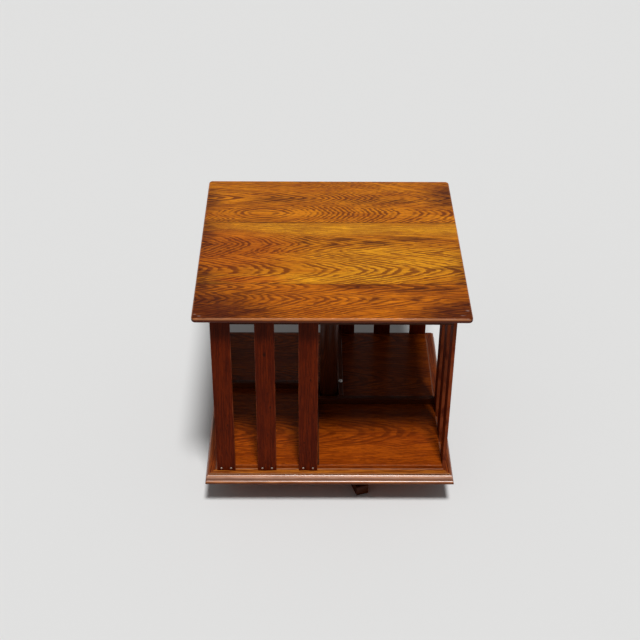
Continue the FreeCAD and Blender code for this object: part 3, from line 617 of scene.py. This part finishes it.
# Painted shade: the stops get a darker stain.
for quarter, side in enumerate(SIDES):
    arches = row(0, ((60, 0.05, None),), blunt=20, arms=0.7)
    oak = Oak("oak_stop_" + side, "yxz" if quarter % 2 == 0 else "xyz", 141.0 + 5 * quarter, (arches,), 2.0,
              SHADED_STOP_TONES, STOP_LEVEL, line=0.5, streak=0.6)
    put("stop_" + side, oak.varnish(0.1, 0.38, shine=0.06))

# Painted shade: the column gets the dark stain.
arches = row(9, ((180, 0.05, None),), blunt=4, arms=0.9)
oak = Oak("oak_column", "zxy", 171.0, (arches,), 2.0, SHADED_DARK_TONES, line=0.7, streak=0.6)
put("column", oak.varnish(0.12, 0.34, shine=0.06))

# Painted shade: the foot gets the dark stain.
for name, grain, seed in (("foot_arm_lower", "xyz", 181.0), ("foot_arm_upper", "yxz", 187.0)):
    arches = row(6, ((30, 0.07, None),), blunt=16, arms=0.7)
    oak = Oak("oak_" + name, grain, seed, (arches,), 2.3, SHADED_DARK_TONES, FOOT_LEVEL, FOOT_ANGLE, line=0.6, streak=0.6)
    put(name, oak.varnish(0.08, 0.42, shine=0.05))


# ---------------------------------------------------------------------------------------------
# Metal and felt
# ---------------------------------------------------------------------------------------------


def metal(name, bright, dull, rough, tarnish):
    """Bare metal with tarnish in patches and fine scratches."""
    finish = Finish(name)
    patches = finish.rise(finish.noise(finish.point, 5, 3, 4.0), -0.3, 0.4)
    scratches = finish.noise(finish.point, (1.2, 1.2, 0.18), 9, 2.0)
    colour = finish.mix(patches * tarnish, bright, dull)
    return finish.close(
        colour, scratches, 0.02, Metallic=1 - patches * (tarnish * 0.5),
        Roughness=rough + patches * 0.2 + scratches * 0.08,
    )


nail_metal = metal("nail_steel", (0.46, 0.36, 0.30), (0.15, 0.09, 0.06), rough=0.42, tarnish=0.85)
steel = metal("bright_steel", (0.62, 0.61, 0.60), (0.24, 0.20, 0.17), rough=0.28, tarnish=0.5)
brass = metal("brass", (0.74, 0.50, 0.19), (0.30, 0.17, 0.06), rough=0.3, tarnish=0.6)
rusty = metal("rusty_steel", (0.16, 0.10, 0.07), (0.06, 0.03, 0.02), rough=0.5, tarnish=0.8)
iron = metal("black_iron", (0.055, 0.052, 0.05), (0.10, 0.05, 0.03), rough=0.5, tarnish=0.35)
for node in ("spindle", "spindle_washer", "spindle_nut"):
    put(node, steel)
for node in ("lower_bush", "upper_bush", "thrust_washer"):
    put(node, brass)
put("spindle_plate", iron)
for node in ("moulding_pins", "stop_pins"):
    put(node, rusty)

FELT_GREENS = ((0.018, 0.05, 0.022), (0.07, 0.14, 0.07))
felt = Finish("felt")
fibres = felt.noise(felt.point, (0.25, 1.4, 0.4), 5, 3.0)
fibres = fibres + felt.noise(felt.point, (1.4, 0.25, 0.4), 8, 3.0)
matted = felt.noise(felt.point, 3.0, 12, 2.0)
felt_material = felt.close(
    felt.mix(felt.rise(fibres + matted * 0.6, -0.8, 0.8), *FELT_GREENS),
    fibres, 0.15, Roughness=0.95 - matted * 0.04, Sheen_Weight=0.4, Sheen_Roughness=0.5,
)


# ---------------------------------------------------------------------------------------------
# Fasteners and felts, placed by Geometry Nodes
# ---------------------------------------------------------------------------------------------


class Pattern(NodeMaker):
    """A Geometry Nodes tree that puts one shape at every point of a mesh, along its facing attribute."""

    def __init__(self, name, sizes):
        tree = bpy.data.node_groups.new(name, "GeometryNodeTree")
        face = tree.interface
        face.new_socket("Geometry", in_out="INPUT", socket_type="NodeSocketGeometry")
        for size in sizes:
            face.new_socket(size, in_out="INPUT", socket_type="NodeSocketFloat")
        face.new_socket("Seed", in_out="INPUT", socket_type="NodeSocketInt")
        face.new_socket("Material", in_out="INPUT", socket_type="NodeSocketMaterial")
        face.new_socket("Geometry", in_out="OUTPUT", socket_type="NodeSocketGeometry")
        super().__init__(tree)
        self.entry = self.add("NodeGroupInput")

    def given(self, name):
        return self.entry.output(name)

    def turned(self, rings, around, radius_at, level_at):
        """A turned solid: a cylinder whose radius and level are functions of the share of its height."""
        blank = self.add("GeometryNodeMeshCylinder", {"fill_type": "TRIANGLE_FAN"}, {
            "Vertices": around, "Side Segments": rings, "Fill Segments": 1, "Radius": 1.0, "Depth": 1.0,
        })
        x, y, z = self.split(self.add("GeometryNodeInputPosition"))
        share = z + 0.5
        radius = radius_at(share)
        return self.add("GeometryNodeSetPosition", None, {
            "Geometry": blank,
            "Position": self.vector(x * radius, y * radius, level_at(share)),
        })

    def raised(self, geometry, rise):
        return self.add("GeometryNodeTransform", None, {
            "Geometry": geometry, "Translation": self.vector(0.0, 0.0, rise),
        })

    def joined(self, *parts):
        node = self.add("GeometryNodeJoinGeometry")
        for part in parts:
            self.tree.links.new(part.socket, node.socket.node.inputs["Geometry"])
        return node

    def end(self, shape, tilt=0.0, smallest=1.0):
        """Puts the shape at the points with a random spin, tilt and size, and ends the tree."""
        facing = self.add(
            "GeometryNodeInputNamedAttribute", {"data_type": "FLOAT_VECTOR"}, {"Name": "facing"}
        )
        upright = self.add(
            "FunctionNodeAlignRotationToVector", {"axis": "Z"}, {"Vector": facing}
        )
        turn = self.add("FunctionNodeRandomValue", {"data_type": "FLOAT_VECTOR"}, {
            0: (-tilt, -tilt, -math.pi), 1: (tilt, tilt, math.pi), "Seed": self.given("Seed"),
        })
        euler = self.add("FunctionNodeEulerToRotation", None, {0: turn})
        rotation = self.add(
            "FunctionNodeRotateRotation", {"rotation_space": "LOCAL"}, {0: upright, 1: euler}
        )
        size = self.add("FunctionNodeRandomValue", {"data_type": "FLOAT"}, {
            2: smallest, 3: 1.0, "Seed": self.given("Seed"),
        }, out=1)
        placed = self.add("GeometryNodeInstanceOnPoints", None, {
            "Points": self.given("Geometry"), "Instance": shape, "Rotation": rotation, "Scale": size,
        })
        solid = self.add("GeometryNodeRealizeInstances", None, {0: placed})
        dressed = self.add("GeometryNodeSetMaterial", None, {
            "Geometry": solid, "Material": self.given("Material"),
        })
        self.add("NodeGroupOutput", None, {0: dressed})
        return self.tree


def place_all(name, tree, places, sizes, body, material, replaced, seed):
    """Runs the tree on (point, facing) places and keeps the result as a plain mesh."""
    points = bpy.data.meshes.new(name + "_places")
    points.from_pydata([[c * MM for c in point] for point, _ in places], [], [])
    facing = points.attributes.new("facing", "FLOAT_VECTOR", "POINT")
    for value, (_, direction) in zip(facing.data, places):
        value.vector = direction
    piece = bpy.data.objects.new(name, points)
    bpy.context.scene.collection.objects.link(piece)
    modifier = piece.modifiers.new("pattern", "NODES")
    modifier.node_group = tree
    identifiers = {
        item.name: item.identifier for item in tree.interface.items_tree if item.in_out == "INPUT"
    }
    for size, value in sizes.items():
        modifier[identifiers[size]] = value * MM
    modifier[identifiers["Seed"]] = seed
    modifier[identifiers["Material"]] = material
    finished = piece.evaluated_get(bpy.context.evaluated_depsgraph_get())
    mesh = bpy.data.meshes.new_from_object(finished)
    mesh.name = name
    piece.modifiers.remove(modifier)
    piece.data = mesh
    bpy.data.meshes.remove(points)
    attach(piece, body)
    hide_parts(replaced)


def nail_pattern():
    """Nails with a low hammered dome on a round shank."""
    tree = Pattern("nails", ("Head diameter", "Head height", "Shank diameter", "Length"))
    head, height = tree.given("Head diameter") * 0.5, tree.given("Head height")
    dome = tree.turned(
        6, 20,
        lambda t: head * tree.root(1 - tree.math("POWER", t * 0.9, 2.4)),
        lambda t: height * t,
    )
    shank, length = tree.given("Shank diameter") * 0.5, tree.given("Length")
    rod = tree.turned(
        2, 10, lambda t: shank * (0.35 + tree.smaller(t * 5, 0.65)), lambda t: length * (t - 1)
    )
    return tree.end(tree.joined(dome, rod), tilt=0.03, smallest=0.95)


def screw_pattern(name, domed):
    """Slotted wood screws, their heads countersunk or domed."""
    tree = Pattern(name, ("Head diameter", "Head height", "Shank diameter", "Length", "Slot"))
    head, height = tree.given("Head diameter") * 0.5, tree.given("Head height")
    shank, length = tree.given("Shank diameter") * 0.5, tree.given("Length")
    if domed:
        cap = tree.turned(
            10, 32, lambda t: head * tree.root(1 - t * t * 0.94), lambda t: height * t
        )
    else:
        cap = tree.turned(
            4, 32, lambda t: shank + (head - shank) * t, lambda t: height * (t - 1)
        )
    slot = tree.given("Slot")
    cutter = tree.add("GeometryNodeMeshCube", None, {
        "Size": tree.vector(head * 3, slot, slot * 2.2),
    })
    top = height if domed else 0.0
    cut = tree.add("GeometryNodeMeshBoolean", {"operation": "DIFFERENCE"}, {
        "Mesh 1": cap, "Mesh 2": tree.raised(cutter, top),
    })
    rod = tree.turned(
        6, 12, lambda t: shank * (0.15 + tree.smaller(t * 6, 0.85)), lambda t: length * (t - 1)
    )
    return tree.end(tree.joined(cut, tree.raised(rod, height * -0.6)))


def pad_pattern():
    """Pressed felt pads with a soft, uneven rim."""
    tree = Pattern("pads", ("Diameter", "Thickness"))
    radius, thick = tree.given("Diameter") * 0.5, tree.given("Thickness")
    around = tree.add("ShaderNodeTexNoise", None, {
        "Vector": tree.add("GeometryNodeInputPosition"), "Scale": 3.1, "Detail": 3.0,
    })

    def rim(t):
        bulge = 1 - tree.math("POWER", abs(t * 2 - 1), 6.0) * 0.06
        return radius * (bulge - around * 0.05)

    pad = tree.turned(12, 64, rim, lambda t: thick * t)
    return tree.end(pad)


def on_each_side(x, out, z):
    """A point on the front, and the same on the other three sides, each with the way it faces."""
    point, facing = Vector((x, -out, z)), Vector((0, -1, 0))
    for quarter in range(4):
        turn = Matrix.Rotation(quarter * math.pi / 2, 3, "Z")
        yield turn @ point, turn @ facing


def on_circle(diameter, z, facing, start=0.0):
    """Four points on a circle about the column's axis, from a starting angle in degrees."""
    places = []
    for quarter in range(4):
        angle = math.radians(start) + quarter * math.pi / 2
        places.append(((diameter / 2 * math.cos(angle), diameter / 2 * math.sin(angle), z), facing))
    return places


UP, DOWN = (0, 0, 1), (0, 0, -1)
COUNTERSUNK_HEAD = {"Head diameter": 5.6, "Head height": 1.3, "Shank diameter": 3.0, "Slot": 0.8}
countersunk = screw_pattern("countersunk_screws", domed=False)
nail_places = [
    place for middle in SLAT_MIDDLES for side in (-1, 1) for z in NAIL_LEVELS
    for place in on_each_side(middle + side * NAIL_SPREAD, SLAT_FACE, z)
]
top_screw_places = [
    ((x, y, UPPER_BOARD_BOTTOM), DOWN) for x in TOP_SCREW_GRID for y in TOP_SCREW_GRID if (x, y) != (0, 0)
]
place_all(
    "nails_of_slats", nail_pattern(), nail_places,
    {"Head diameter": 3.4, "Head height": 0.68, "Shank diameter": 1.8, "Length": 21.5},
    body="case", material=nail_metal, replaced="slat_nails", seed=4,
)
place_all(
    "screws_of_plate", countersunk, on_circle(PLATE_SCREW_CIRCLE, PLATE_SCREW_LEVEL, UP, FOOT_ANGLE),
    {**COUNTERSUNK_HEAD, "Length": 17.0},
    body="foot", material=steel, replaced="plate_screws", seed=2,
)
place_all(
    "screws_of_flange", countersunk, on_circle(FLANGE_SCREW_CIRCLE, FLANGE_LEVEL, DOWN),
    {**COUNTERSUNK_HEAD, "Length": 13.0},
    body="case", material=steel, replaced="flange_screws", seed=3,
)
place_all(
    "screws_of_top", countersunk, top_screw_places, {**COUNTERSUNK_HEAD, "Length": 22.0},
    body="case", material=steel, replaced="top_screws", seed=5,
)
place_all(
    "screw_of_stop", screw_pattern("domed_screw", domed=True), [(STOP_SCREW_PLACE, UP)],
    {"Head diameter": 6.4, "Head height": 3.1, "Shank diameter": 3.0, "Length": 19.0, "Slot": 0.9},
    body="case", material=steel, replaced="stop_screw", seed=6,
)
place_all(
    "felt_pads", pad_pattern(), on_circle(PAD_CIRCLE, 0.0, UP, FOOT_ANGLE),
    {"Diameter": 16.0, "Thickness": 2.0},
    body="foot", material=felt_material, replaced="foot_pads", seed=7,
)


# ---------------------------------------------------------------------------------------------
# Floor, light and camera
# ---------------------------------------------------------------------------------------------

FLOOR_HALF = 30.0
FLOOR_PAINT = (0.74, 0.74, 0.735)
floor_mesh = bpy.data.meshes.new("floor")
floor_mesh.from_pydata(
    [(x * FLOOR_HALF, y * FLOOR_HALF, 0) for x, y in ((-1, -1), (1, -1), (1, 1), (-1, 1))],
    [], [(0, 1, 2, 3)],
)
floor = bpy.data.objects.new("floor", floor_mesh)
bpy.context.scene.collection.objects.link(floor)
paint = Finish("floor")
floor_mesh.materials.append(paint.close(FLOOR_PAINT, Roughness=0.9, Specular_IOR_Level=0.1))


def sun(name, towards, strength, spread):
    """A distant soft lamp that shines in that direction."""
    lamp = bpy.data.lights.new(name, "SUN")
    lamp.energy, lamp.angle = strength, math.radians(spread)
    holder = bpy.data.objects.new(name, lamp)
    holder.rotation_mode = "QUATERNION"
    holder.rotation_quaternion = Vector(towards).to_track_quat("-Z", "Y")
    bpy.context.scene.collection.objects.link(holder)


sun("key", (-0.065, 0.375, -0.925), strength=2.9, spread=10)
sun("fill", (0.55, 0.62, -0.56), strength=0.1, spread=50)

# A dim sky, a little brighter overhead, lights the object. The camera and reflections also see a pale
# wall round the horizon.
world = bpy.data.worlds.new("studio")
world.use_nodes = True
bpy.context.scene.world = world
sky = NodeMaker(world.node_tree)
_, _, up = sky.split(sky.add("ShaderNodeTexCoord", out="Generated"))
level = sky.add("ShaderNodeMapRange", None, {
    "Value": up, "From Min": -0.1, "From Max": 1.0, "To Min": 0.09, "To Max": 0.17,
})
wall = sky.add("ShaderNodeMapRange", {"interpolation_type": "SMOOTHSTEP"}, {
    "Value": up, "From Min": 0.25, "From Max": 0.5, "To Min": 0.75, "To Max": 0.0,
})
path = sky.add("ShaderNodeLightPath", out="Is Camera Ray")
seen = sky.larger(path, sky.larger(path.output("Is Glossy Ray"), path.output("Is Transmission Ray")))
shine = sky.add("ShaderNodeBackground", None, {
    "Color": (1.0, 1.0, 0.995, 1.0), "Strength": sky.larger(level, wall * seen),
})
sky.add("ShaderNodeOutputWorld", None, {"Surface": shine})

FRAME_PIXELS = 640
FOCAL_PIXELS = 1250.0
SENSOR = 36.0
YAW, PITCH, ROLL = (math.radians(angle) for angle in (0.624, 35.259, 0.508))
CAMERA_PLACE = Vector((-0.0315, -1.5639, 1.3225))
forward = Vector((math.sin(YAW) * math.cos(PITCH), math.cos(YAW) * math.cos(PITCH), -math.sin(PITCH)))
level_right = Vector((math.cos(YAW), -math.sin(YAW), 0))
level_up = level_right.cross(forward)
right = level_right * math.cos(ROLL) + level_up * math.sin(ROLL)
upward = level_up * math.cos(ROLL) - level_right * math.sin(ROLL)
lens = bpy.data.cameras.new("camera")
lens.sensor_width = SENSOR
lens.lens = FOCAL_PIXELS / FRAME_PIXELS * SENSOR
camera = bpy.data.objects.new("camera", lens)
turn = Matrix((right, upward, -forward)).transposed()
camera.matrix_world = Matrix.Translation(CAMERA_PLACE) @ turn.to_4x4()
bpy.context.scene.collection.objects.link(camera)
bpy.context.scene.camera = camera
bpy.context.scene.view_settings.view_transform = "Standard"
